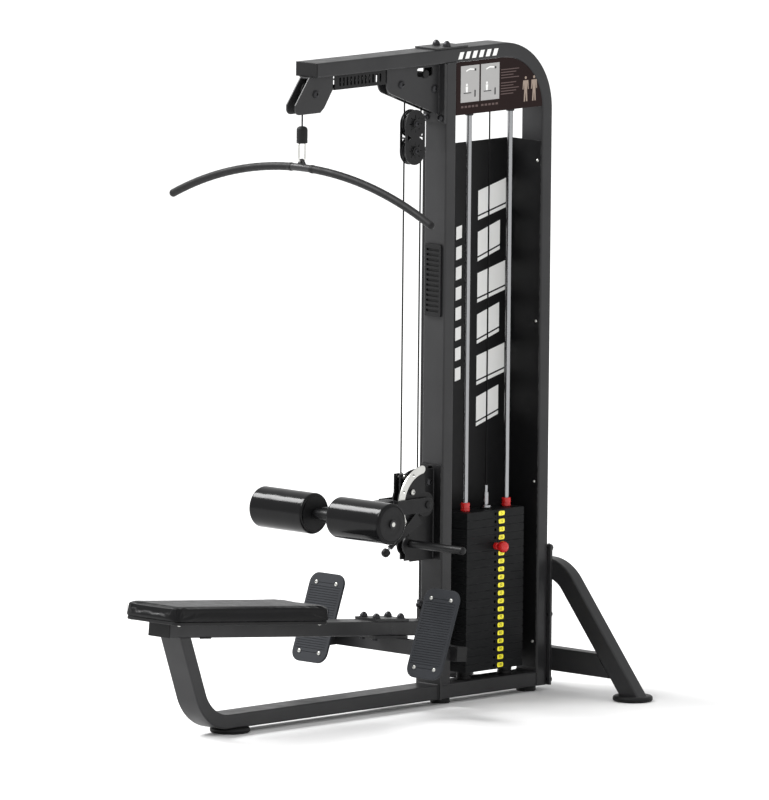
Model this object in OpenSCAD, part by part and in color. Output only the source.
// Lat pulldown machine with a weight stack, a seat and knee rollers.
// Millimetres. +Z is up, the user sits on the -Y side, X is side to side.
// The modules are drawn from the front face of the front column; at_origin()
// moves them so that the part's origin is the middle of its footprint.

/* [Tower] */
// Height of the top of the beam over the floor
frame_h = 2267; // [2150:1:2400]
// Clear depth between the front and the rear column
tower_gap = 431; // [400:1:520]
// Reach of the beam in front of the front column
beam_reach = 642; // [560:1:760]
// Outer radius of the bend from the beam into the rear column
beam_bend_r = 245; // [200:1:290]
// Height of the tubes over the floor
base_gap = 20; // [16:1:30]

/* [Main tube] */
// Width of the main tube, side to side
tube_w = 100; // [90:1:120]
// Depth of the main tube
tube_d = 50; // [45:1:60]
// Wall of the main tube
tube_t = 3; // [2:0.5:4]
// Thickness of the plastic caps' flanges
cap_t = 4; // [3:0.5:6]

/* [Front base] */
// Distance from the column to the start of the front bend
front_bend_y = 1035; // [900:1:1200]
// Outer radius of the front bend
front_bend_r = 177; // [150:1:200]
// Forward lean of the front support, from the vertical
front_lean = 20.5; // [10:0.5:30]
// Thickness of the flange plate on the column's foot
flange_t = 10; // [8:1:14]
// Width of the flange plate
flange_w = 114; // [110:1:130]
// Height of the flange plate's top over the floor
flange_top = 357; // [330:1:400]
// Distance of the front foot from the column
front_foot_y = 987; // [850:1:1100]

/* [Seat] */
// Height of the rail's underside where it meets the flange plate
rail_z = 243; // [225:1:300]
// Length of the seat rail
rail_len = 1335; // [1200:1:1500]
// Tilt of the rail, front end up
rail_tilt = 5.07; // [0:0.1:8]
// Distance of the splice from the flange plate
splice_y = 238; // [225:1:270]
// Length of the splice plates
splice_len = 165; // [160:1:190]
// Thickness of the splice plates
splice_t = 9; // [8:1:12]
// Width of the seat pad
seat_w = 255; // [240:1:340]
// Length of the seat pad
seat_len = 757; // [560:1:820]
// Thickness of the seat pad
seat_t = 48; // [35:1:70]
// Thickness of the board under the pad
board_t = 12; // [9:1:18]
// Overhang of the pad past the rail's front end
seat_lip = 47; // [0:1:80]

/* [Foot plates] */
// Half the distance between the two foot plates' middles
foot_x = 272; // [230:1:320]
// Distance of a foot plate's middle from the column
foot_y = 272; // [262:1:300]
// Height of a foot plate's middle
foot_z = 296; // [280:1:340]
// Width of a foot plate
foot_w = 163; // [140:1:200]
// Length of a foot plate
foot_len = 315; // [280:1:380]
// Thickness of a foot plate
foot_t = 9; // [7:1:12]
// Lean of a foot plate, top away from the user
foot_lean = 19.7; // [5:0.1:30]
// Screw spacing across a foot plate
foot_screw_x = 93; // [70:1:110]
// Screw spacing along a foot plate
foot_screw_z = 245; // [200:1:260]
// Half the length of the cross beam
cross_half = 330; // [310:1:380]
// Side of the cross beam's square tube
cross_d = 50; // [40:1:50]

/* [Rear legs] */
// Depth of a rear leg's tube
leg_d = 50; // [40:1:60]
// Height of a rear leg's tube in its own plane
leg_h = 70; // [60:1:80]
// Height of the legs' top over the floor
leg_top = 460; // [420:1:500]
// Inner radius of a leg's bend
leg_bend_r = 100; // [80:1:130]
// Slope of a leg from the horizontal
leg_slope = 50.5; // [45:0.5:58]
// Straight start of a leg beside the middle
leg_start = 27; // [20:1:45]
// Thickness of the plate behind the rear column
rear_plate_t = 10; // [8:1:14]
// Width of the plate behind the rear column
rear_plate_w = 126; // [112:1:140]
// Height of that plate's top over the floor
rear_plate_top = 508; // [480:1:560]
// Height of the link tube's underside
link_z = 69; // [50:1:110]
// Height of the link tube
link_h = 81; // [60:1:100]

/* [Feet] */
// Diameter of the round rubber feet
foot_pad_d = 138; // [110:1:150]
// Diameter of the small feet under the columns
small_pad_d = 68; // [50:1:90]

/* [Weight stack] */
// Distance of the stack's middle behind the column's front face
stack_y = 269; // [250:1:300]
// Length of a weight plate
plate_len = 283; // [250:1:300]
// Width of a weight plate
plate_w = 95; // [85:1:100]
// Thickness of a weight plate
plate_h = 27.5; // [24:0.1:28]
// Gap between two weight plates
plate_gap = 0.2; // [0.1:0.05:0.5]
// Number of plates under the selector pin
plates_below = 15; // [10:1:18]
// Number of plates that the pin lifts
plates_lifted = 5; // [2:1:8]
// Distance between the two guide rods
rod_pitch = 204.5; // [180:0.5:220]
// Diameter of a guide rod
rod_d = 19; // [16:1:22]
// Diameter of the selector stem
stem_d = 25; // [22:1:28]
// Diameter of the selector pin
pin_d = 10; // [8:1:12]
// Height of the rubber bumpers under the stack
bumper_h = 28; // [20:1:50]
// Height of the red collars over the stack
collar_h = 30; // [25:1:45]

/* [Pulleys and cables] */
// Diameter of the steel cables
cable_d = 5.5; // [5:0.5:6]
// Radius of a cable's centre line round a pulley
sheave_r = 41; // [38:0.5:44]
// Outer radius of a pulley
sheave_out_r = 46; // [45:0.5:46.5]
// Width of a pulley
sheave_w = 18; // [16:1:20]
// Diameter of a pulley's bolt
axle_d = 12; // [10:1:14]
// Distance of the lat bar's cable in front of the column
bar_y = 660; // [590:1:700]
// Distance of the floating block in front of the column
block_y = 115; // [114:1:125]
// Height of the floating block's middle
block_z = 1969; // [1850:1:1990]
// Distance between the block's two pulleys
block_pitch = 94.4; // [94:0.1:110]
// Half the gap between the block's side plates
block_gap = 11; // [10:0.5:12]
// Thickness of the block's side plates
block_t = 3; // [2:0.5:5]
// Depth of the two head pulleys' bolts under the beam
head_drop = 59; // [57:1:66]
// Depth of the tower pulleys' bolts under the beam
tower_drop = 86; // [80:1:96]
// Half the gap between the pulley brackets' cheeks
cheek_gap = 17; // [15:1:20]
// Thickness of the cheeks
cheek_t = 6; // [5:1:8]
// Height of the placard
placard_h = 183; // [160:1:195]

/* [Lat bar] */
// Length of the bar from tip to tip
bar_len = 1243; // [1000:1:1300]
// Drop of the bar's tips under its middle
bar_drop = 142; // [90:1:180]
// Diameter of the bar over its grips
bar_d = 28; // [25:1:32]
// Diameter of the bare bar in the middle
bar_core_d = 26; // [24:1:28]
// Height of the bar's middle
bar_z = 1908; // [1800:1:1920]
// Length of the bare middle
bar_bare = 87; // [70:1:120]

/* [Knee rollers] */
// Distance of the arm's pivot in front of the column
pivot_y = 67; // [60:1:75]
// Height of the arm's pivot
pivot_z = 701; // [660:1:760]
// Length of the arm from its pivot to the rollers' axle
arm_len = 452; // [400:1:500]
// Diameter of a roller
roller_d = 142; // [120:1:150]
// Length of a roller
roller_len = 250; // [200:1:280]
// Gap between the two rollers
roller_gap = 113; // [112:1:140]
// Diameter of the rollers' axle
roller_axle_d = 20; // [18:1:25]
// Diameter of the pivot pin
pivot_d = 20; // [16:1:24]
// Outer radius of the index sector
sector_r = 138; // [130:1:145]
// Width of the index sector's band
sector_w = 27; // [22:1:32]
// Angle between two settings of the arm
index_step = 12; // [10:1:12]
// Length of the rest bar
rest_len = 541; // [480:1:600]
// Diameter of the rest bar
rest_d = 28; // [25:1:32]

/* [Shroud] */
// Thickness of the sheet metal
sheet_t = 2; // [1.5:0.5:3]
// Distance of the shroud's panel from the middle
shroud_x = 110; // [100:1:125]
// Height of the shroud's top over the floor
shroud_top = 1913; // [1800:1:1950]
// Height of the shroud's bottom edge over the floor
shroud_bottom = 84; // [74:1:120]

/* [Hidden] */
$fn = 64;
e = 1;                                  // how far a cutter runs past a face
play = 0.2;                             // gap round a bolt in its plate
fit = 0.05;                             // radial gap of a running fit

// tower
beam_z = frame_h - tube_d;              // underside of the beam
base_z = base_gap + tube_d;             // top of the base tubes
rear_y = tube_d + tower_gap;            // front face of the rear column
back_y = rear_y + tube_d;               // back face of the rear column
bend_y = back_y - beam_bend_r;
bend_z = frame_h - beam_bend_r;
plate_top_screw_x = 25;                 // bolts on top of the beam
top_plate_len = 160;
top_plate_t = 6;

// seat and front support, in the rail's own frame
rail_end = splice_y + 0.5;
splice_bolt_x = 30;
splice_bolt_y = 60.5;
front_turn = 90 - front_lean;
front_bend_z = base_gap + front_bend_r;
seat_front = rail_len + seat_lip;
seat_corner = 25;
seat_z0 = tube_d + board_t;
seat_screw_y = 45;

// foot plates
cross_y = 158;
strut_w = 60;
strut_h = 40;
backing_w = 130;
backing_len = 230;
backing_t = 5;
foot_corner = 38;
rib_pitch = 17.5;
foot_screw_d = 6;

// rear legs
leg_y = back_y + rear_plate_t;
leg_bend_z = leg_top - leg_h - leg_bend_r;
leg_end_x = leg_start + leg_bend_r * sin(leg_slope);
leg_end_z = leg_bend_z + leg_bend_r * cos(leg_slope);
leg_foot_x = leg_inner_x(base_gap) + leg_h / sin(leg_slope) / 2;
foot_lip = 4;
rear_bolt_x = rear_plate_w / 2 - 17;
rear_bolt_z = [38, 264, 495];

// the part's origin is the middle of its footprint
seat_tip_y = -flange_t - seat_front * cos(rail_tilt) + seat_z0 * sin(rail_tilt);
rear_tip_y = leg_y + leg_d / 2 + foot_pad_d / 2;
origin_y = -(seat_tip_y + rear_tip_y) / 2;

// weight stack
plate_pitch = plate_h + plate_gap;
stack_z = base_z + bumper_h;
pin_plate_z = stack_z + plates_below * plate_pitch;
stack_top = pin_plate_z + plates_lifted * plate_pitch - plate_gap;
rod_y = [stack_y - rod_pitch / 2, stack_y + rod_pitch / 2];
plate_edge = 2;
groove_h = 3;
rod_hole_d = rod_d + 3;
stem_hole_d = stem_d + 5;
pin_hole_d = pin_d + 1;
collar_d = 32;
stem_foot = 112;
connector_d = 19;
connector_z = stack_top + 18;
connector_top = stack_top + 82;
pin_z = pin_plate_z + plate_h / 2;
knob_d = 40;
knob_x = 84;
pin_tip_x = 2 - stem_hole_d / 2;
pin_collar_d = 24;
top_collar_d = 29;
top_plate_z = beam_z - placard_h + 30;
rod_plate_t = 8;
rod_plate_end = bend_y - 0.5 + sqrt(
    pow(beam_bend_r - tube_d, 2) - pow(max(0, top_plate_z + rod_plate_t - bend_z), 2));

// pulleys
cable_r = cable_d / 2;
groove_r = cable_r + 0.35;
axle_r = axle_d / 2;
axle_head_r = 13;
axle_head_h = 8;
nut_r = 11;
nut_h = 10;
front_axle = [-bar_y + sheave_r, beam_z - head_drop];
gusset_axle = [-block_y - 2 * sheave_r, beam_z - head_drop];
column_axle = [-block_y + 2 * sheave_r, beam_z - tower_drop];
tower_axle = [stack_y - sheave_r, beam_z - tower_drop];
guide_axle = [-block_y + 2 * sheave_r, pivot_z + 72];
block_plate_r = 48;
block_rim = 10;
block_hub_r = 16;
block_axle_z = [block_z - block_pitch / 2, block_z + block_pitch / 2];
hub_w = 2 * cheek_gap - 2;              // hub of a pulley between two cheeks
slot_w = 26;                            // slots in the column for the cables
cheek_x = cheek_gap + cheek_t;

// lat bar
boot_d = 38;
boot_h = 58;
boot_z = bar_z + 84;
boot_top = boot_z + boot_h;
hook_wire = 6;
hook_w = 30;
hook_h = 40;
hook_z = bar_z + 34;                    // centre of the hook's lower arc
swivel_d = 9;                           // the hook's stem, which turns in the boot
swivel_h = boot_z + boot_h - 15 - hook_z - hook_h - hook_w / 2;
lug_t = 8;
bar_half = (bar_len - bar_d) / 2;
bar_arc_r = (bar_half * bar_half + bar_drop * bar_drop) / (2 * bar_drop);
bar_angle = asin(bar_half / bar_arc_r);
bare_angle = asin(bar_bare / 2 / bar_arc_r);

// knee unit
inner_gap = 10;                         // half the gap between the fixed plates
carrier_x = 28;
sector_x = 34;
sector_t = 5;
arm_cheek_x = 40;
disc_r = 118;
anchor_y = block_y + sheave_r;          // the row cable's fixed end
anchor_z = 800;
stud_z = 813;
index_bolt_r = 84;
index_bolt_a = 35;
lock_a = 37;
lock_x = sector_x + sector_t / 2;
plunger_d = 8;
pin_travel = 12;                        // the pull pin is drawn pulled out by this
barrel_d = 18;
barrel_r0 = 168;
barrel_r1 = 222;
knob_r0 = 226;
heel_r = 192;
pull_knob_d = 30;
arm_d = 50;
arm_start = sector_r + 4;
yoke_t = 8;
axle_sleeve_d = 36;
bar_hole_y = 122;
bar_hole_z = 568;
roller_bore = roller_axle_d / 2 + 0.08;
roller_x = roller_gap / 2;
roller_disc_d = 124;
roller_edge = 8;
end_washer_t = 4;

// route of the selector pin's cord: X, Y from the pin's axis, height
lanyard_d = 2.4;
lanyard_points = [
    [40, 0, 652.4], [41, 0, 655], [44, 0, 657.5], [48, 0, 657], [51, 1, 653],
    [53, 2, 646], [54, 3, 636], [55, 4, 624], [56, 6, 608], [57, 7, 592],
    [57, 8, 577], [57, 7, 563], [56, 5, 553], [56, 2, 546], [56, 0, 540.4]];

function leg_inner_x(z) = leg_end_x + (leg_end_z - z) / tan(leg_slope);

// ---- helpers -------------------------------------------------------------

module at_origin() {
    translate([0, origin_y, 0]) children();
}

// a drawing in the Y-Z plane, w thick, starting at x
module side_plate(x, w) {
    translate([x, 0, 0]) rotate([90, 0, 90]) linear_extrude(w) children();
}

// the same drawing on both sides of the middle
module side_pair(x, w) {
    side_plate(x, w) children();
    side_plate(-x - w, w) children();
}

// a drawing in the X-Z plane, w thick, starting at y
module cross_plate(y, w) {
    translate([0, y + w, 0]) rotate([90, 0, 0]) linear_extrude(w) children();
}

module x_rod(y, z, r, x0, x1) {
    translate([x0, y, z]) rotate([0, 90, 0]) cylinder(r = r, h = x1 - x0);
}

// a ring between two radii and two angles, less than half a turn
module arc_band(r0, r1, a0, a1) {
    far = 2 * r1;
    mid = (a0 + a1) / 2;
    intersection() {
        difference() {
            circle(r = r1);
            circle(r = r0);
        }
        polygon([
            [0, 0], far * [cos(a0), sin(a0)],
            1.5 * far * [cos(mid), sin(mid)], far * [cos(a1), sin(a1)]]);
    }
}

// a solid bend between two straights, w thick: one comes in along +X between
// the heights r0 and r1, the bend turns it clockwise, the other leaves
module bent(r0, r1, turn, len_a, len_b, w) {
    rotate([0, 0, 90 - turn]) rotate_extrude(angle = turn)
        translate([r0, 0]) square([r1 - r0, w]);
    translate([-len_a, r0, 0]) cube([len_a, r1 - r0, w]);
    rotate([0, 0, -turn]) translate([0, r0, 0]) cube([len_b, r1 - r0, w]);
    for (a = [0, -turn]) rotate([0, 0, a]) translate([-e, r0 + e, e])
        cube([2 * e, r1 - r0 - 2 * e, w - 2 * e]);
}

module round_rect(w, h, r) {
    square([w - 2 * r, h], center = true);
    square([w, h - 2 * r], center = true);
    for (x = [-1, 1], z = [-1, 1])
        translate([x * (w / 2 - r), z * (h / 2 - r)]) circle(r = r);
}

// a dome standing on z = 0
module dome(r, h) {
    ball = (r * r + h * h) / (2 * h);
    intersection() {
        translate([0, 0, h - ball]) sphere(r = ball);
        cylinder(r = r, h = h);
    }
}

// bolt along +Z: a dome head on z = 0, a shank below it and a nut
module dome_bolt(r, shank, head_r, head_h, nut = true) {
    dome(head_r, head_h);
    translate([0, 0, -shank]) cylinder(r = r, h = shank);
    if (nut) translate([0, 0, -shank]) cylinder(r = r * 1.7, h = r * 1.3, $fn = 6);
}

module x_bolt(axle, x) {
    translate([x, axle[0], axle[1]]) rotate([0, 90, 0])
        dome_bolt(axle_r, 2 * x + nut_h - 2, axle_head_r, axle_head_h, nut = false);
    x_rod(axle[0], axle[1], nut_r, -x - nut_h + 2, -x);
}

// quarter turn of cable round a pulley's bolt, from angle a0
module cable_arc(axle, a0, turn) {
    translate([0, axle[0], axle[1]]) rotate([90, 0, 90]) rotate([0, 0, a0])
        rotate_extrude(angle = turn) translate([sheave_r, 0]) circle(r = cable_r, $fn = 24);
}

module cable_up(y, z0, z1) {
    translate([0, y, z0]) cylinder(r = cable_r, h = z1 - z0, $fn = 24);
}

module cable_along(z, y0, y1) {
    translate([0, y0, z]) rotate([-90, 0, 0]) cylinder(r = cable_r, h = y1 - y0, $fn = 24);
}

// pulley on an axis along X through (y, z)
module sheave(axle, hub) {
    holes = 6;
    web = 3;
    translate([0, axle[0], axle[1]]) rotate([0, 90, 0]) difference() {
        union() {
            cylinder(r = sheave_out_r, h = sheave_w, center = true);
            cylinder(r = 13, h = hub, center = true);
        }
        cylinder(r = axle_r + fit, h = hub + 2 * e, center = true);
        rotate_extrude() union() {
            translate([sheave_r, 0]) circle(r = groove_r);
            translate([sheave_r, -groove_r]) square([10, 2 * groove_r]);
        }
        for (side = [-1, 1]) translate([0, 0, side * (sheave_w / 2 + e - web)])
            difference() {
                cylinder(r = 33, h = 2 * e + web, center = true);
                cylinder(r = 16, h = 9, center = true);
            }
        for (i = [0:holes - 1]) rotate([0, 0, i * 360 / holes])
            translate([24.5, 0, 0]) cylinder(r = 5, h = sheave_w + e, center = true);
    }
}

module on_rail() {
    translate([0, -flange_t, rail_z]) rotate([-rail_tilt, 0, 0]) children();
}

module on_foot(side) {
    translate([side * foot_x, -foot_y, foot_z]) rotate([-foot_lean, 0, 0]) children();
}

// the knee unit's drawings are taken from the arm's pivot, user's side first
module at_pivot() {
    translate([-pivot_y, pivot_z]) children();
}

// ---- frame ---------------------------------------------------------------

module column_slot(y0, z0, z1) {
    translate([-slot_w / 2, y0 - e, z0]) cube([slot_w, tube_t + 2 * e, z1 - z0]);
}

module front_column() {
    cable_z = column_axle[1] + sheave_r;
    guide_z = guide_axle[1] - sheave_r;
    color("dimgray") difference() {
        translate([-tube_w / 2, 0, base_z]) cube([tube_w, tube_d, beam_z - base_z]);
        translate([-tube_w / 2 + tube_t, tube_t, base_z + tube_t])
            cube([tube_w - 2 * tube_t, tube_d - 2 * tube_t, beam_z - base_z - 2 * tube_t]);
        column_slot(0, column_axle[1] - sheave_out_r - 4, cable_z + 12);
        column_slot(tube_d - tube_t, cable_z - 12, cable_z + 12);
        column_slot(0, guide_axle[1] - sheave_out_r - 4, guide_axle[1] + sheave_out_r + 4);
    }
}

module top_tube_solid(inset) {
    translate([-tube_w / 2 + inset, bend_y, bend_z]) rotate([90, 0, 90])
        bent(beam_bend_r - tube_d + inset, beam_bend_r - inset, 90,
            beam_reach - cap_t + bend_y, bend_z - base_gap - inset, tube_w - 2 * inset);
}

module top_tube() {
    color("dimgray") difference() {
        top_tube_solid(0);
        top_tube_solid(tube_t);
        translate([-tube_w / 2 + tube_t, -beam_reach + cap_t - e, beam_z + tube_t])
            cube([tube_w - 2 * tube_t, 2 * e, tube_d - 2 * tube_t]);
        for (x = [-1, 1]) translate([x * plate_top_screw_x, tube_d / 2, frame_h - tube_t - e])
            cylinder(r = axle_r + play, h = tube_t + 2 * e);
    }
}

module tower_base() {
    color("dimgray") difference() {
        translate([-tube_w / 2, 0, base_gap]) cube([tube_w, rear_y, tube_d]);
        translate([-tube_w / 2 + tube_t, tube_t, base_gap + tube_t])
            cube([tube_w - 2 * tube_t, rear_y - 2 * tube_t, tube_d - 2 * tube_t]);
    }
}

module front_base_solid(inset) {
    difference() {
        translate([-tube_w / 2 + inset, -front_bend_y, front_bend_z])
            rotate([90, 0, 90]) rotate([0, 0, 180])
                bent(front_bend_r - tube_d + inset, front_bend_r - inset, front_turn,
                    front_bend_y - flange_t - inset, 2 * front_bend_r, tube_w - 2 * inset);
        on_rail() translate([-tube_w, -2 * rail_len, -inset])
            cube([2 * tube_w, 3 * rail_len, 10 * tube_d]);
    }
}

module front_base() {
    color("dimgray") difference() {
        front_base_solid(0);
        front_base_solid(tube_t);
    }
}

module splice_holes(r, z0, z1) {
    for (x = [-1, 1], y = [-1, 1])
        translate([x * splice_bolt_x, -splice_y + y * splice_bolt_y, z0])
            cylinder(r = r, h = z1 - z0);
}

module rail_tube(y0, y1, open_end) {
    far = open_end ? e : -tube_t;
    difference() {
        translate([-tube_w / 2, y0, 0]) cube([tube_w, y1 - y0, tube_d]);
        translate([-tube_w / 2 + tube_t, y0 - far, tube_t])
            cube([tube_w - 2 * tube_t, y1 - y0 + far - tube_t, tube_d - 2 * tube_t]);
        splice_holes(axle_r + play, -e, tube_d + e);
    }
}

module seat_rail() {
    color("dimgray") {
        on_rail() rail_tube(-rail_len + cap_t, -rail_end, true);
        difference() {
            on_rail() rail_tube(-splice_y + 0.5, tube_d, false);
            translate([-tube_w, -flange_t, 0]) cube([2 * tube_w, 4 * tube_d, frame_h]);
        }
    }
}

module splice_plates() {
    color("dimgray") {
        on_rail() difference() {
            for (z = [-splice_t, tube_d])
                translate([-tube_w / 2, -splice_y - splice_len / 2, z])
                    cube([tube_w, splice_len, splice_t]);
            splice_holes(axle_r + play, -splice_t - e, tube_d + splice_t + e);
        }
        translate([0, tube_d / 2, frame_h]) difference() {
            translate([-tube_w / 2, -top_plate_len / 2, 0])
                cube([tube_w, top_plate_len, top_plate_t]);
            for (x = [-1, 1]) translate([x * plate_top_screw_x, 0, -e])
                cylinder(r = axle_r + play, h = top_plate_t + 2 * e);
        }
    }
}

module column_flange() {
    color("dimgray") difference() {
        translate([-flange_w / 2, -flange_t, base_gap])
            cube([flange_w, flange_t, flange_top - base_gap]);
        for (x = [-1, 1]) translate([x * (flange_w / 2 - 17), 0, flange_top - 17])
            rotate([90, 0, 0]) translate([0, 0, -e]) cylinder(r = axle_r + play, h = flange_t + 2 * e);
    }
}

// ---- foot plates ---------------------------------------------------------

module foot_screws(r, y0, y1) {
    for (x = [-1, 1], z = [-1, 1])
        translate([x * foot_screw_x / 2, y0, z * foot_screw_z / 2])
            rotate([-90, 0, 0]) cylinder(r = r, h = y1 - y0);
}

module foot_crossbeam() {
    back = foot_t / 2 + backing_t;
    color("dimgray") union() {
        difference() {
            union() {
                on_rail() translate([-cross_half, -cross_y - cross_d, -splice_t - cross_d])
                    cube([2 * cross_half, cross_d, cross_d]);
                for (side = [-1, 1])
                    translate([side * foot_x - strut_w / 2, -foot_y - 60, foot_z - 95])
                        cube([strut_w, foot_y - cross_y + 20, strut_h]);
            }
            for (side = [-1, 1]) on_foot(side)
                translate([-foot_w, back - 200 - e, -foot_len]) cube([2 * foot_w, 200, 2 * foot_len]);
            on_rail() splice_holes(axle_r * 1.7 + 1, -splice_t - cross_d - e, -splice_t + e);
        }
        for (side = [-1, 1]) on_foot(side) difference() {
            translate([0, foot_t / 2 + backing_t, 0]) rotate([90, 0, 0])
                linear_extrude(backing_t) round_rect(backing_w, backing_len + 40, 20);
            foot_screws(foot_screw_d / 2 + play, 0, back + e);
        }
    }
}

module foot_plate(side) {
    ribs = floor((foot_len / 2 - 30) / rib_pitch);
    color("slategray") on_foot(side) difference() {
        translate([0, foot_t / 2, 0]) rotate([90, 0, 0])
            linear_extrude(foot_t) round_rect(foot_w, foot_len, foot_corner);
        for (i = [-ribs:ribs])
            translate([-foot_w / 2 + 12, -foot_t / 2 - e, i * rib_pitch - 1.2])
                cube([foot_w - 24, e + 2, 2.4]);
        foot_screws(foot_screw_d / 2 + play, -foot_t, foot_t);
    }
}

module foot_plate_left() {
    foot_plate(-1);
}

module foot_plate_right() {
    foot_plate(1);
}

// ---- rear legs -----------------------------------------------------------

module leg_solid(inset) {
    difference() {
        translate([leg_start, leg_y + leg_d - inset, leg_bend_z]) rotate([90, 0, 0])
            bent(leg_bend_r + inset, leg_bend_r + leg_h - inset, leg_slope,
                leg_start - inset, 1.5 * leg_top, leg_d - 2 * inset);
        translate([-leg_top, leg_y - e, base_gap + inset - leg_top])
            cube([4 * leg_top, leg_d + 2 * e, leg_top]);
    }
}

module rear_leg() {
    color("dimgray") difference() {
        leg_solid(0);
        leg_solid(tube_t);
    }
}

module rear_leg_left() {
    mirror([1, 0, 0]) rear_leg();
}

module rear_leg_right() {
    rear_leg();
}

module rear_link() {
    x0 = leg_inner_x(link_z);
    x1 = leg_inner_x(link_z + link_h);
    wall_x = tube_t / sin(leg_slope);
    z0 = link_z + tube_t;
    z1 = link_z + link_h - tube_t;
    color("dimgray") difference() {
        cross_plate(leg_y, leg_d)
            polygon([[-x0, link_z], [x0, link_z], [x1, link_z + link_h], [-x1, link_z + link_h]]);
        cross_plate(leg_y + tube_t, leg_d - 2 * tube_t)
            polygon([
                [-leg_inner_x(z0) + wall_x, z0], [leg_inner_x(z0) - wall_x, z0],
                [leg_inner_x(z1) - wall_x, z1], [-leg_inner_x(z1) + wall_x, z1]]);
    }
}

module rear_bolt_places() {
    for (x = [-1, 1], z = rear_bolt_z)
        translate([x * rear_bolt_x, back_y + rear_plate_t, z]) rotate([-90, 0, 0]) children();
}

module rear_plate() {
    color("dimgray") difference() {
        translate([-rear_plate_w / 2, back_y, base_gap])
            cube([rear_plate_w, rear_plate_t, rear_plate_top - base_gap]);
        rear_bolt_places() translate([0, 0, -rear_plate_t - e])
            cylinder(r = axle_r + play, h = rear_plate_t + 2 * e);
    }
}

module rubber_foot(x, y) {
    lip = 4;
    translate([x, y, 0]) rotate_extrude() {
        square([foot_pad_d / 2 - lip, base_gap]);
        translate([0, lip]) square([foot_pad_d / 2, base_gap - 2 * lip]);
        for (z = [lip, base_gap - lip]) translate([foot_pad_d / 2 - lip, z]) circle(r = lip, $fn = 32);
    }
}

module rubber_feet() {
    color("black") {
        rubber_foot(0, -front_foot_y);
        for (side = [-1, 1]) rubber_foot(side * leg_foot_x, leg_y + leg_d / 2);
        for (y = [tube_d, rear_y])
            translate([0, y, 0]) cylinder(d = small_pad_d, h = base_gap);
    }
}

// ---- covers --------------------------------------------------------------

module shroud() {
    r = 6;
    x0 = -shroud_x;
    x1 = 45;
    y0 = tube_d;
    y1 = rear_y;
    top_step = 24;
    color("#1c1c1d") difference() {
        translate([0, 0, shroud_bottom]) linear_extrude(shroud_top - shroud_bottom) {
            translate([x0 + r, y1 - sheet_t]) square([x1 - x0 - r, sheet_t]);
            translate([x0 + r, y0]) square([40, sheet_t]);
            translate([x0, y0 + r]) square([sheet_t, y1 - y0 - 2 * r]);
            translate([x0 + r, y1 - r]) arc_band(r - sheet_t, r, 90, 180);
            translate([x0 + r, y0 + r]) arc_band(r - sheet_t, r, 180, 270);
        }
        side_plate(x0 - e, 3 * r) difference() {
            translate([y0 - e, shroud_top - top_step]) square([top_step + e, top_step + e]);
            translate([y0 + top_step, shroud_top - top_step]) circle(r = top_step);
        }
        for (z = shroud_screw_z()) translate([shroud_screw_x, y1 + e, z])
            rotate([90, 0, 0]) cylinder(r = 2.7, h = sheet_t + 2 * e);
    }
}

shroud_screw_x = 30;
function shroud_screw_z() = [for (i = [0:3])
    shroud_bottom + 90 + i * (shroud_top - shroud_bottom - 160) / 3];

module placard() {
    t = 3;
    gap = 0.4;
    color("#2a1b18") side_plate(tube_w / 2 - t - 2, t) intersection() {
        translate([tube_d, beam_z - placard_h]) square([tower_gap, placard_h]);
        union() {
            translate([tube_d, 0]) square([bend_y - tube_d, frame_h]);
            translate([tube_d, 0]) square([tower_gap, bend_z]);
            translate([bend_y, bend_z]) circle(r = beam_bend_r - tube_d - gap);
        }
    }
}

module cover_slots(count, pitch, w, h) {
    for (i = [0:count - 1]) translate([(i - (count - 1) / 2) * pitch, 0])
        round_rect(w, h, w / 2 - 0.1);
}

module slotted_covers() {
    cover_len = 250;
    cover_h = 52;
    cover_x = 25;
    cover_t = 3;
    mid_y = -402;
    vent_z = 1467;
    vent_h = 250;
    vent_w = 74;
    vent_t = 8;
    color("#161616") {
        difference() {
            union() {
                side_pair(cover_x - cover_t, cover_t)
                    translate([mid_y - cover_len / 2, beam_z - cover_h]) square([cover_len, cover_h]);
                translate([-cover_x, mid_y - cover_len / 2, beam_z - cover_h])
                    cube([2 * cover_x, cover_len, cover_t]);
            }
            side_plate(-cover_x - e, 2 * cover_x + 2 * e) translate([mid_y, beam_z - cover_h / 2])
                cover_slots(12, 18, 8, 30);
        }
        difference() {
            cross_plate(-vent_t, vent_t) translate([0, vent_z]) round_rect(vent_w, vent_h, 6);
            cross_plate(-vent_t - e, vent_t - 3 + e) translate([0, vent_z]) rotate(90)
                cover_slots(13, 17.5, 9, vent_w - 14);
        }
    }
}

// ---- head pulleys --------------------------------------------------------

module cheek_bore(axle) {
    translate(axle) circle(r = axle_r + play);
}

module front_pulley_bracket() {
    y0 = front_axle[0];
    z0 = front_axle[1];
    corner = 20;
    tail = 84;
    outline = [
        [y0 - 30, beam_z], [y0 - 98, z0 - 32], [y0 - 98, z0 - 46],
        [y0 - 78, z0 - 66], [y0 + 24, z0 - 66], [y0 + 44, z0 - 50],
        [y0 + tail, z0 + 8], [y0 + tail, beam_z]];
    color("dimgray") union() {
        side_pair(cheek_gap, cheek_t) difference() {
            union() {
                polygon(outline);
                translate([y0 - 78, z0 - 46]) circle(r = corner);
            }
            cheek_bore(front_axle);
        }
        translate([-cheek_gap - e, y0 - 30, beam_z - 6]) cube([2 * cheek_gap + 2 * e, tail + 30, 6]);
    }
}

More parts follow.
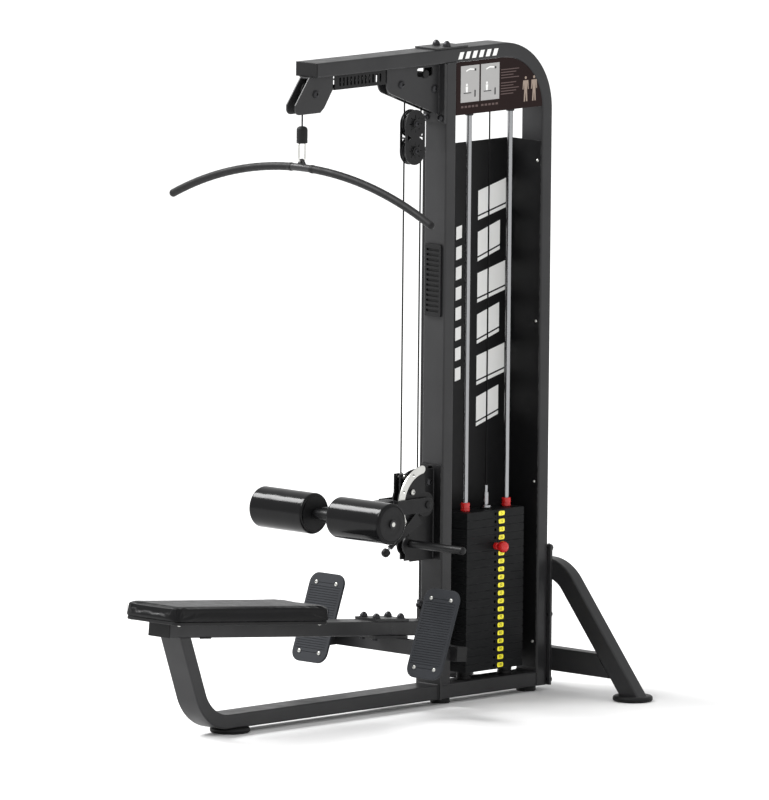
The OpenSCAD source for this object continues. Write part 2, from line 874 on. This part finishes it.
module gusset_side() {
    y0 = gusset_axle[0];
    z0 = gusset_axle[1];
    nose = 36;
    bottom = 2040 - 2217;
    difference() {
        union() {
            translate([y0 - 35, z0 + 4]) circle(r = nose);
            polygon([
                [y0 - 35 - nose, beam_z], [y0 - 35 - nose, z0 + 4],
                [y0 - 35 - 13, z0 + 4 - 33.6], [-flange_t, beam_z + bottom],
                [-flange_t, beam_z]]);
        }
        cheek_bore(gusset_axle);
        cheek_bore(column_axle);
        translate([-80, beam_z - 25]) round_rect(78, 30, 8);
    }
}

module gusset_bracket() {
    flange_h = 205;
    y0 = gusset_axle[0] - 71;
    color("dimgray") union() {
        side_pair(cheek_gap, cheek_t) gusset_side();
        translate([-cheek_gap - e, y0, beam_z - 6]) cube([2 * cheek_gap + 2 * e, -y0, 6]);
        difference() {
            translate([-tube_w / 2, -flange_t, beam_z - flange_h]) cube([tube_w, flange_t, flange_h]);
            translate([-cheek_gap, -flange_t - e, column_axle[1] - sheave_out_r - 6])
                cube([2 * cheek_gap, flange_t + 2 * e, 2 * sheave_out_r + 12]);
            gusset_bolt_places() translate([0, 0, -flange_t - e])
                cylinder(r = axle_r + play, h = flange_t + 2 * e);
        }
    }
}

module gusset_bolt_places() {
    for (x = [-1, 1]) translate([x * 33, -flange_t, beam_z - 188]) rotate([90, 0, 0]) children();
}

module rod_top_plate() {
    t = rod_plate_t;
    w = 60;
    color("dimgray") union() {
        difference() {
            translate([-w / 2, tube_d, top_plate_z]) cube([w, rod_plate_end - tube_d, t]);
            for (y = rod_y) translate([0, y, top_plate_z - e]) cylinder(r = rod_d / 2 + play, h = t + 2 * e);
            translate([0, stack_y, top_plate_z - e]) cylinder(r = 8, h = t + 2 * e);
        }
        side_pair(cheek_gap, cheek_t) difference() {
            union() {
                translate(tower_axle) circle(r = 24);
                translate([tower_axle[0] - 24, top_plate_z + t - e])
                    square([48, tower_axle[1] - top_plate_z - t + e]);
            }
            cheek_bore(tower_axle);
        }
        for (y = rod_y) translate([0, y, top_plate_z - 42]) difference() {
            cylinder(d = top_collar_d, h = 42);
            translate([0, 0, -e]) cylinder(r = rod_d / 2 + play, h = 42 + 2 * e);
        }
    }
}

module axle_bolts() {
    color("silver") {
        x_bolt(front_axle, cheek_x);
        x_bolt(gusset_axle, cheek_x);
        x_bolt(column_axle, cheek_x);
        x_bolt(tower_axle, cheek_x);
        x_bolt(guide_axle, inner_gap + cheek_t);
        pivot_pin();
    }
}

module pivot_pin() {
    cap_r = 13.5;
    x1 = arm_cheek_x + cheek_t + 0.5;
    x_rod(-pivot_y, pivot_z, pivot_d / 2, -x1, x1);
    for (side = [-1, 1]) translate([side * x1, -pivot_y, pivot_z]) rotate([0, side * 90, 0])
        dome(cap_r, 6);
}

module front_pulley() {
    color("#141414") sheave(front_axle, hub_w);
}

module gusset_pulley() {
    color("#141414") sheave(gusset_axle, hub_w);
}

module column_pulley() {
    color("#141414") sheave(column_axle, hub_w);
}

module tower_pulley() {
    color("#141414") sheave(tower_axle, hub_w);
}

module guide_pulley() {
    color("#141414") sheave(guide_axle, 2 * inner_gap - 1);
}

// ---- floating block ------------------------------------------------------

module block_plate_side() {
    r = block_plate_r;
    hub_z = block_pitch / 2;
    difference() {
        union() {
            for (z = [-1, 1]) translate([0, z * hub_z]) circle(r = r);
            square([2 * r, block_pitch], center = true);
        }
        difference() {
            square([2 * (r - block_rim), block_pitch - 30], center = true);
            for (z = [-1, 1]) translate([0, z * hub_z]) circle(r = r + 2);
        }
        for (z = [-1, 1]) translate([0, z * hub_z]) {
            circle(r = axle_r + play);
            for (a = [0:45:315]) rotate(a) translate([25, 0]) square([11, 3], center = true);
        }
    }
}

module pulley_block() {
    x0 = block_gap;
    color("#141414") {
        side_pair(x0, block_t) translate([-block_y, block_z]) block_plate_side();
        for (z = block_axle_z) {
            x_rod(-block_y, z, axle_r, -x0 - block_t - 6, x0 + block_t + 1);
            x_rod(-block_y, z, block_hub_r, x0 + block_t, x0 + block_t + 7);
            x_rod(-block_y, z, nut_r, -x0 - block_t - 7, -x0 - block_t);
        }
        for (y = [-1, 1]) x_rod(-block_y + y * (block_plate_r - 5), block_z, 3, -x0 - e, x0 + e);
    }
}

module block_sheave_upper() {
    color("#1a1a1a") sheave([-block_y, block_axle_z[1]], 2 * block_gap - 1);
}

module block_sheave_lower() {
    color("#1a1a1a") sheave([-block_y, block_axle_z[0]], 2 * block_gap - 1);
}

// ---- cables --------------------------------------------------------------

module lat_cable_run() {
    color("black") {
        cable_arc(front_axle, 90, 90);
        cable_along(front_axle[1] + sheave_r, front_axle[0], gusset_axle[0]);
        cable_arc(gusset_axle, 0, 90);
        cable_arc(column_axle, 90, 90);
        cable_along(column_axle[1] + sheave_r, column_axle[0], tower_axle[0]);
        cable_arc(tower_axle, 0, 90);
    }
}

module lat_cable_loop() {
    color("black") {
        cable_up(-block_y - sheave_r, block_axle_z[1], gusset_axle[1]);
        cable_up(-block_y + sheave_r, block_axle_z[1], column_axle[1]);
        cable_arc([-block_y, block_axle_z[1]], 180, 180);
    }
}

module row_cable() {
    color("black") {
        cable_up(-block_y - sheave_r, stud_z, block_axle_z[0]);
        cable_arc([-block_y, block_axle_z[0]], 0, 180);
        cable_up(-block_y + sheave_r, guide_axle[1], block_axle_z[0]);
        cable_arc(guide_axle, 180, 90);
        cable_along(guide_axle[1] - sheave_r, guide_axle[0], 12);
    }
}

module row_cable_ends() {
    color("silver") {
        translate([0, -anchor_y, stud_z - 22]) cylinder(d = 8, h = 22);
        translate([0, -anchor_y, stud_z - 8]) cylinder(d = 13, h = 7, $fn = 6);
        x_rod(-anchor_y, anchor_z, 6, -inner_gap - cheek_t - 7, inner_gap + cheek_t + 1);
        for (side = [-1, 1]) x_rod(-anchor_y, anchor_z, 10,
            side * (inner_gap + cheek_t + 3.5) - 3.5, side * (inner_gap + cheek_t + 3.5) + 3.5);
        translate([0, 12, guide_axle[1] - sheave_r]) rotate([-90, 0, 0]) cylinder(d = 14, h = 24);
    }
}

module lat_cable_drop() {
    color("black") cable_up(-bar_y, boot_top, front_axle[1]);
}

module stack_cable() {
    color("black") cable_up(stack_y, connector_top, tower_axle[1]);
}

// ---- lat bar -------------------------------------------------------------

module cable_boot() {
    wall = 3;
    color("#181818") translate([0, -bar_y, boot_z]) difference() {
        union() {
            cylinder(d = boot_d, h = boot_h - 12);
            translate([0, 0, boot_h - 12]) rotate_extrude() {
                square([boot_d / 2 - 12, 12]);
                translate([boot_d / 2 - 12, 0]) intersection() {
                    circle(r = 12);
                    square(12);
                }
            }
        }
        translate([0, 0, -e]) cylinder(d = boot_d - 2 * wall, h = boot_h - 20 + e);
        translate([0, 0, boot_h - 20 - e]) cylinder(d = swivel_d + 1, h = 8 + e);
    }
}

module hook_ring(angle) {
    rotate([90, 0, 0]) rotate([0, 0, angle])
        rotate_extrude(angle = 180) translate([hook_w / 2, 0]) circle(d = hook_wire, $fn = 24);
}

module snap_hook() {
    color("silver") translate([0, -bar_y, hook_z]) rotate([0, 0, 90]) union() {
        hook_ring(180);
        for (x = [-1, 1]) translate([x * hook_w / 2, 0, 0]) cylinder(d = hook_wire, h = hook_h, $fn = 24);
        translate([0, 0, hook_h]) hook_ring(0);
        translate([0, 0, hook_h + hook_w / 2]) cylinder(d = swivel_d, h = swivel_h, $fn = 32);
    }
}

module bar_arc(d, a) {
    rotate([0, 0, 90 - a]) rotate_extrude(angle = 2 * a) translate([bar_arc_r, 0]) circle(d = d);
}

module lat_bar() {
    lug_r = 11;
    lug_z = hook_z - hook_w / 2 - bar_z;
    color("#232324") translate([0, -bar_y, bar_z]) difference() {
        union() {
            translate([0, 0, -bar_arc_r]) rotate([90, 0, 0]) {
                bar_arc(bar_core_d, bar_angle);
                difference() {
                    bar_arc(bar_d, bar_angle);
                    rotate([0, 0, 90 - bare_angle]) rotate_extrude(angle = 2 * bare_angle)
                        translate([bar_arc_r, 0]) circle(d = bar_d + 2 * e);
                }
            }
            for (side = [-1, 1]) translate([0, 0, -bar_arc_r])
                rotate([0, side * bar_angle, 0]) translate([0, 0, bar_arc_r]) sphere(d = bar_d);
            cross_plate(-lug_t / 2, lug_t) {
                polygon([
                    [-20, bar_core_d / 2 - 4], [20, bar_core_d / 2 - 4],
                    [lug_r, lug_z + 3], [-lug_r, lug_z + 3]]);
                translate([0, lug_z + 1]) circle(r = lug_r);
            }
        }
        cross_plate(-lug_t, 2 * lug_t) translate([0, lug_z]) circle(r = hook_wire / 2 + 1.4);
    }
}

// ---- weight stack --------------------------------------------------------

module weight_plate(z) {
    in = plate_edge;
    difference() {
        union() {
            translate([-plate_w / 2, stack_y - plate_len / 2, z + groove_h / 2])
                cube([plate_w, plate_len, plate_h - groove_h]);
            translate([-plate_w / 2 + in, stack_y - plate_len / 2 + in, z])
                cube([plate_w - 2 * in, plate_len - 2 * in, plate_h]);
        }
        for (y = rod_y) translate([0, y, z - e]) cylinder(d = rod_hole_d, h = plate_h + 2 * e);
        translate([0, stack_y, z - e]) cylinder(d = stem_hole_d, h = plate_h + 2 * e);
        x_rod(stack_y, z + plate_h / 2, pin_hole_d / 2, 0, plate_w);
    }
}

module weights_resting() {
    color("#26272a") for (i = [0:plates_below - 1]) weight_plate(stack_z + i * plate_pitch);
}

module weights_lifted() {
    top = plates_lifted - 1;
    color("#26272a") {
        for (i = [0:top - 1]) weight_plate(pin_plate_z + i * plate_pitch);
        difference() {
            union() {
                weight_plate(pin_plate_z + top * plate_pitch);
                translate([0, stack_y, stack_top - plate_h / 2])
                    cylinder(d = stem_hole_d + 10, h = plate_h / 2 + 6);
            }
            for (y = rod_y) translate([0, y, stack_top - plate_h - e])
                cylinder(d = rod_hole_d, h = plate_h + 2 * e);
            translate([0, stack_y, stack_top - plate_h - e])
                cylinder(d = stem_hole_d, h = plate_h + 9);
        }
    }
}

module selector_stem() {
    color("silver") difference() {
        union() {
            translate([0, stack_y, stem_foot]) cylinder(d = stem_d, h = stack_top + 7 - stem_foot);
            translate([0, stack_y, stack_top + 6]) cylinder(d = stem_hole_d + 8, h = 7);
            translate([0, stack_y, stack_top + 12]) cylinder(d = 14, h = connector_z - stack_top - 11);
            translate([0, stack_y, connector_z]) cylinder(d = connector_d, h = 40);
            translate([0, stack_y, connector_z + 39]) cylinder(d = 13, h = connector_top - connector_z - 39);
        }
        for (i = [1:plates_below + plates_lifted - 1])
            x_rod(stack_y, stack_z + i * plate_pitch + plate_h / 2, pin_d / 2 + fit, -stem_d, stem_d);
    }
}

module stack_collars() {
    color("#d01414") for (y = rod_y) translate([0, y, stack_top]) difference() {
        cylinder(d = collar_d, h = collar_h);
        translate([0, 0, -e]) cylinder(r = rod_d / 2 + 0.1, h = collar_h + 2 * e);
    }
}

module guide_rods() {
    color("silver") for (y = rod_y) translate([0, y, base_z])
        cylinder(d = rod_d, h = top_plate_z + 20 - base_z);
}

module stack_bumpers() {
    color("black") for (y = rod_y) translate([0, y, base_z]) difference() {
        cylinder(d = 50, h = bumper_h - play);
        translate([0, 0, -e]) cylinder(r = rod_d / 2 + play, h = bumper_h + 2 * e);
    }
}

module selector_pin() {
    color("#d01414") union() {
        x_rod(stack_y, pin_z, pin_d / 2, pin_tip_x, knob_x);
        x_rod(stack_y, pin_z, pin_collar_d / 2, plate_w / 2 + 0.5, plate_w / 2 + 14);
        translate([knob_x, stack_y, pin_z]) sphere(d = knob_d);
        x_rod(stack_y, pin_z, 9, plate_w / 2 + 13, knob_x);
    }
}

// one ring of a swept tube: the points round a station, square to the route
function ring(p, d, r, sides) =
    let (t = d / norm(d))
    let (s = [0, 1, 0] - ([0, 1, 0] * t) * t)
    let (u = s / norm(s))
    let (v = cross(t, u))
    [for (k = [0:sides - 1]) p + r * (cos(360 * k / sides) * u + sin(360 * k / sides) * v)];

module swept_tube(points, r, sides) {
    n = len(points);
    dirs = [for (i = [0:n - 1]) points[min(i + 1, n - 1)] - points[max(i - 1, 0)]];
    rings = [for (i = [0:n - 1]) each ring(points[i], dirs[i], r, sides)];
    start = [for (k = [0:sides - 1]) k];
    finish = [for (k = [0:sides - 1]) (n - 1) * sides + sides - 1 - k];
    walls = [for (i = [0:n - 2], k = [0:sides - 1]) let (j = (k + 1) % sides)
        each [
            [i * sides + k, (i + 1) * sides + k, (i + 1) * sides + j],
            [i * sides + k, (i + 1) * sides + j, i * sides + j]]];
    polyhedron(points = rings, faces = concat([start], walls, [finish]));
}

module lanyard() {
    color("black") translate([0, stack_y, 0]) swept_tube(lanyard_points, lanyard_d / 2, 8);
}

// ---- knee unit -----------------------------------------------------------

// index bolts that hold the sector, seen from the pivot
module index_spots() {
    for (s = [-1, 1]) rotate(180 + s * index_bolt_a) translate([index_bolt_r, 0]) children();
}

module knee_plate_side() {
    horn_y = anchor_y;
    difference() {
        union() {
            at_pivot() circle(r = disc_r);
            translate([-pivot_y, pivot_z - disc_r]) square([pivot_y - flange_t, 2 * disc_r]);
            translate([-bar_hole_y, 505]) square([bar_hole_y - flange_t, pivot_z - 505]);
            translate([-bar_hole_y, bar_hole_z - 6]) circle(r = 36);
            translate([-bar_hole_y - 20, 512]) square([40, 60]);
            translate([-horn_y - 19, pivot_z - 10]) square([40, anchor_z + 12 - pivot_z + 10]);
        }
        at_pivot() circle(r = pivot_d / 2 + fit);
        at_pivot() index_spots() circle(r = 5 + play);
        translate([-bar_hole_y, bar_hole_z]) circle(r = rest_d / 2 + play);
        translate([-anchor_y, anchor_z]) circle(r = 6 + play);
        translate(guide_axle) circle(r = axle_r + play);
        translate([-flange_t / 2, 0]) square([2 * disc_r, frame_h]);
    }
}

module carrier_side() {
    difference() {
        at_pivot() {
            arc_band(40, disc_r, 180 - 86, 180 + 44);
            circle(r = 42);
        }
        at_pivot() circle(r = pivot_d / 2 + fit);
        at_pivot() index_spots() circle(r = 5 + play);
    }
}

module knee_bracket() {
    plate_z0 = 505;
    plate_z1 = 830;
    color("#2b2b2d") union() {
        side_pair(inner_gap, cheek_t) knee_plate_side();
        difference() {
            translate([-tube_w / 2, -flange_t, plate_z0]) cube([tube_w, flange_t, plate_z1 - plate_z0]);
            translate([-inner_gap, -flange_t - e, guide_axle[1] - sheave_out_r - 6])
                cube([2 * inner_gap, flange_t + 2 * e, 2 * sheave_out_r + 12]);
        }
        side_plate(carrier_x, cheek_t) carrier_side();
        side_plate(inner_gap + cheek_t - e, carrier_x - inner_gap - cheek_t + 2 * e) at_pivot()
            index_spots() difference() {
                circle(r = 9);
                circle(r = 5 + play);
            }
    }
}

module sector_plate() {
    r0 = sector_r - sector_w;
    mid = sector_r - sector_w / 2;
    color("#9a9a98") side_plate(sector_x, sector_t) at_pivot() difference() {
        union() {
            arc_band(r0, sector_r, 180 - 80, 180 + 34);
            rotate(180 + 34) translate([mid, 0]) circle(d = sector_w);
            rotate(180 - 80) translate([mid, 0]) circle(d = sector_w);
        }
        for (a = [-58, -25, 20, 32]) rotate(180 + a) translate([mid, 0]) circle(d = 8.5);
        for (i = [0:2]) rotate(180 + lock_a - i * index_step)
            translate([sector_r - 7, -(plunger_d + 1) / 2]) square([20, plunger_d + 1]);
    }
}

module arm_cheek_side() {
    at_pivot() difference() {
        union() {
            circle(r = arm_d / 2);
            translate([-arm_start - yoke_t, -arm_d / 2]) square([arm_start + yoke_t, arm_d]);
        }
        circle(r = pivot_d / 2 + fit);
    }
}

module heel_side() {
    half = 8;
    at_pivot() rotate(180 + lock_a) polygon([
        [60, 30], [60, -16], [heel_r, -half], [heel_r, half]]);
}

module at_lock() {
    translate([lock_x, -pivot_y, pivot_z]) rotate([lock_a, 0, 0]) rotate([90, 0, 0]) children();
}

module knee_arm() {
    tube_y0 = -pivot_y - arm_len;
    color("dimgray") difference() {
        union() {
            side_pair(arm_cheek_x, cheek_t) arm_cheek_side();
            side_plate(arm_cheek_x, cheek_t) heel_side();
            at_lock() translate([0, 0, barrel_r0]) cylinder(d = barrel_d, h = barrel_r1 - barrel_r0);
            translate([-arm_cheek_x - e, -pivot_y - arm_start - yoke_t, pivot_z - arm_d / 2])
                cube([2 * arm_cheek_x + 2 * e, yoke_t, arm_d]);
            difference() {
                translate([-arm_d / 2, tube_y0, pivot_z - arm_d / 2])
                    cube([arm_d, arm_len - arm_start - e, arm_d]);
                translate([-arm_d / 2 + tube_t, tube_y0 + 30, pivot_z - arm_d / 2 + tube_t])
                    cube([arm_d - 2 * tube_t, arm_len - arm_start - 40, arm_d - 2 * tube_t]);
            }
            x_rod(tube_y0, pivot_z, axle_sleeve_d / 2, -roller_x + 6, roller_x - 6);
        }
        x_rod(tube_y0, pivot_z, roller_axle_d / 2 + play, -roller_x, roller_x);
        at_lock() translate([0, 0, sector_r - 10]) cylinder(r = plunger_d / 2 + 0.1, h = barrel_r1);
    }
}

module roller_axle() {
    y = -pivot_y - arm_len;
    x1 = roller_x + roller_len + end_washer_t;
    color("silver") {
        x_rod(y, pivot_z, roller_axle_d / 2, -x1, x1);
        for (side = [-1, 1]) x_rod(y, pivot_z, 15, side * (x1 + 2) - 2, side * (x1 + 2) + 2);
    }
}

module roller(side) {
    y = -pivot_y - arm_len;
    r = roller_d / 2;
    q = roller_edge;
    color("#121212") translate([side * roller_x, y, pivot_z]) rotate([0, side * 90, 0])
        rotate_extrude() difference() {
            union() {
                square([r - q, roller_len]);
                translate([0, q]) square([r, roller_len - 2 * q]);
                for (z = [q, roller_len - q]) translate([r - q, z]) circle(r = q, $fn = 32);
            }
            translate([-e, -e]) square([roller_bore + e, roller_len + 2 * e]);
        }
}

module roller_left() {
    roller(-1);
}

module roller_right() {
    roller(1);
}

module pop_pin() {
    color("silver") at_lock() translate([0, 0, pin_travel]) union() {
        translate([0, 0, sector_r - 5]) cylinder(d = plunger_d, h = knob_r0 - sector_r + 8);
        translate([0, 0, knob_r0]) cylinder(d = pull_knob_d, h = 12);
        translate([0, 0, knob_r0 + 12]) dome(pull_knob_d / 2, 13);
    }
}

module rest_bar() {
    half = rest_len / 2;
    tip = 6;
    color("#2e2e30") translate([0, -bar_hole_y, bar_hole_z]) rotate([0, 90, 0]) union() {
        translate([0, 0, -half + tip]) cylinder(d = rest_d, h = rest_len - 2 * tip);
        translate([0, 0, half - tip]) dome(rest_d / 2, tip);
        translate([0, 0, -half + tip]) mirror([0, 0, 1]) dome(rest_d / 2, tip);
    }
}

// ---- seat ----------------------------------------------------------------

module seat_pad() {
    color("#101010") on_rail() translate([0, -seat_front + seat_len / 2, seat_z0])
        linear_extrude(seat_t) round_rect(seat_w, seat_len, seat_corner);
}

module seat_board() {
    color("black") on_rail() translate([0, -seat_front + seat_len / 2, tube_d])
        linear_extrude(board_t) round_rect(seat_w - 6, seat_len - 6, seat_corner);
}

// ---- fasteners and caps --------------------------------------------------

module fasteners() {
    bolt_head_r = 15.5;
    bolt_head_h = 17;
    color("#2c2c2e") {
        on_rail() translate([0, 0, tube_d + splice_t])
            for (x = [-1, 1], y = [-1, 1])
                translate([x * splice_bolt_x, -splice_y + y * splice_bolt_y, 0])
                    dome_bolt(axle_r, tube_d + 2 * splice_t + 10, bolt_head_r, bolt_head_h);
        for (x = [-1, 1]) {
            translate([x * plate_top_screw_x, tube_d / 2, frame_h + top_plate_t])
                dome_bolt(axle_r, top_plate_t + tube_t, bolt_head_r, 18, nut = false);
            translate([x * (flange_w / 2 - 17), -flange_t, flange_top - 17]) rotate([90, 0, 0])
                dome_bolt(axle_r, flange_t, bolt_head_r, bolt_head_h, nut = false);
        }
        rear_bolt_places() dome_bolt(axle_r, rear_plate_t, bolt_head_r, bolt_head_h, nut = false);
        gusset_bolt_places() dome_bolt(axle_r, flange_t, bolt_head_r - 2, 12, nut = false);
        translate([0, -pivot_y, pivot_z]) for (s = [-1, 1])
            rotate([-s * index_bolt_a, 0, 0]) translate([0, -index_bolt_r, 0]) {
                translate([-inner_gap - cheek_t - 8, 0, 0]) rotate([0, 90, 0])
                    cylinder(r = 5, h = inner_gap + cheek_t + sector_x + 8 + e);
                translate([sector_x, 0, 0]) rotate([0, 90, 0]) dome(8.5, 5);
                translate([-inner_gap - cheek_t - 8, 0, 0]) rotate([0, 90, 0]) cylinder(r = 8, h = 8);
            }
        for (side = [-1, 1]) on_foot(side) for (x = [-1, 1], z = [-1, 1])
            translate([x * foot_screw_x / 2, -foot_t / 2, z * foot_screw_z / 2])
                rotate([90, 0, 0]) dome_bolt(foot_screw_d / 2, foot_t + backing_t, 6.5, 4, nut = false);
        for (z = shroud_screw_z()) translate([shroud_screw_x, rear_y - sheet_t, z])
            rotate([90, 0, 0]) dome_bolt(2.5, sheet_t, 5.5, 3.5, nut = false);
    }
}

module cap_box(w, d, plug) {
    gap = 0.3;
    translate([-w / 2, 0, 0]) cube([w, cap_t, d]);
    translate([-w / 2 + tube_t + gap, cap_t - e, tube_t + gap])
        cube([w - 2 * tube_t - 2 * gap, plug + e, d - 2 * tube_t - 2 * gap]);
}

module tube_caps() {
    color("#171717") {
        translate([0, -beam_reach, beam_z]) cap_box(tube_w, tube_d, 12);
        on_rail() translate([0, -rail_len, 0]) cap_box(tube_w, tube_d, 12);
        on_rail() for (side = [-1, 1]) translate([side * cross_half, -cross_y - cross_d, -splice_t - cross_d])
            translate([side > 0 ? 0 : -cap_t, 0, 0]) cube([cap_t, cross_d, cross_d]);
    }
}

at_origin() front_column();
at_origin() top_tube();
at_origin() tower_base();
at_origin() front_base();
at_origin() seat_rail();
at_origin() splice_plates();
at_origin() column_flange();
at_origin() foot_crossbeam();
at_origin() foot_plate_left();
at_origin() foot_plate_right();
at_origin() rear_leg_left();
at_origin() rear_leg_right();
at_origin() rear_link();
at_origin() rear_plate();
at_origin() rubber_feet();
at_origin() shroud();
at_origin() placard();
at_origin() guide_rods();
at_origin() rod_top_plate();
at_origin() stack_bumpers();
at_origin() weights_resting();
at_origin() front_pulley_bracket();
at_origin() gusset_bracket();
at_origin() axle_bolts();
at_origin() lat_cable_run();
at_origin() lat_cable_loop();
at_origin() row_cable();
at_origin() row_cable_ends();
at_origin() knee_bracket();
at_origin() sector_plate();
at_origin() rest_bar();
at_origin() seat_pad();
at_origin() seat_board();
at_origin() slotted_covers();
at_origin() fasteners();
at_origin() tube_caps();
at_origin() guide_pulley();
at_origin() front_pulley();
at_origin() gusset_pulley();
at_origin() column_pulley();
at_origin() tower_pulley();
at_origin() pulley_block();
at_origin() block_sheave_upper();
at_origin() block_sheave_lower();
at_origin() lat_cable_drop();
at_origin() cable_boot();
at_origin() snap_hook();
at_origin() lat_bar();
at_origin() weights_lifted();
at_origin() selector_stem();
at_origin() stack_collars();
at_origin() stack_cable();
at_origin() selector_pin();
at_origin() lanyard();
at_origin() knee_arm();
at_origin() roller_axle();
at_origin() roller_left();
at_origin() roller_right();
at_origin() pop_pin();
